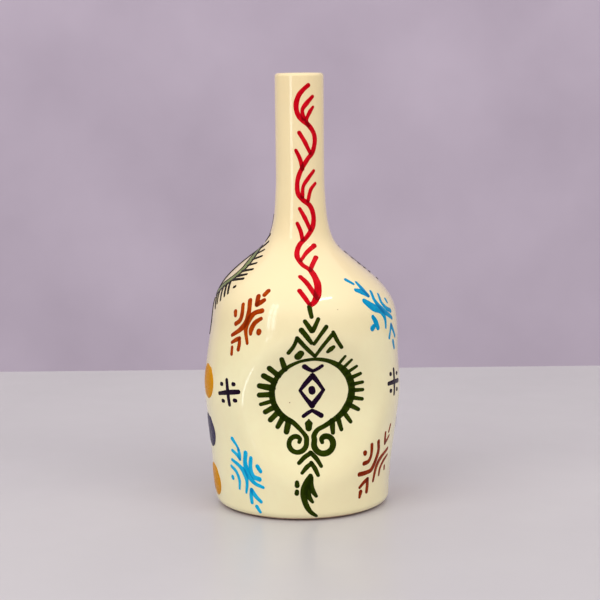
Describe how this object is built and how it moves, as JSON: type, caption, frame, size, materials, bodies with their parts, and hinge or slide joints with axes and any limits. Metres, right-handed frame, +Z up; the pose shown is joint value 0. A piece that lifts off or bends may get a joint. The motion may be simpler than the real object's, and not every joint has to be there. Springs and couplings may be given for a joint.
{
  "type": "bottle vase",
  "caption": "Hand-painted glazed earthenware bottle vase with a slim neck and a body dimpled on two sides, open at the mouth.",
  "frame": {"origin": "centre of the foot on the plane the vase stands on", "axes": "+Z up along the neck; the painted front faces -Y, turned 8 degrees towards +X"},
  "size_m": [0.1193, 0.114, 0.26],
  "materials": {
    "clay": "unglazed, matt",
    "glaze": "ivory gloss glaze",
    "red_enamel": "gloss",
    "green_enamel": "gloss",
    "purple_enamel": "gloss",
    "brown_enamel": "gloss",
    "blue_enamel": "gloss",
    "ochre_enamel": "gloss",
    "navy_enamel": "gloss",
    "olive_enamel": "gloss",
    "black_enamel": "gloss"
  },
  "bodies": {
    "root": {"clay_body": "clay", "glaze_coat": "glaze", "glaze_lining": "glaze", "front_vine": "red_enamel", "front_crown": "green_enamel", "front_medallion": "green_enamel", "front_tail": "green_enamel", "front_sign": "purple_enamel", "front_star_upper_left": "brown_enamel", "front_star_upper_right": "blue_enamel", "front_star_lower_left": "blue_enamel", "front_star_lower_right": "brown_enamel", "front_cross_left": "purple_enamel", "front_cross_right": "purple_enamel", "back_vine": "red_enamel", "back_crown": "green_enamel", "back_medallion": "green_enamel", "back_tail": "green_enamel", "back_sign": "purple_enamel", "back_star_upper_left": "brown_enamel", "back_star_upper_right": "blue_enamel", "back_star_lower_left": "blue_enamel", "back_star_lower_right": "brown_enamel", "back_cross_left": "purple_enamel", "back_cross_right": "purple_enamel", "left_ring_band": "olive_enamel", "left_ring_outline": "black_enamel", "left_ochre_dots": "ochre_enamel", "left_navy_dot": "navy_enamel", "right_ring_band": "olive_enamel", "right_ring_outline": "black_enamel", "right_ochre_dots": "ochre_enamel", "right_navy_dot": "navy_enamel"}
  },
  "joints": []
}
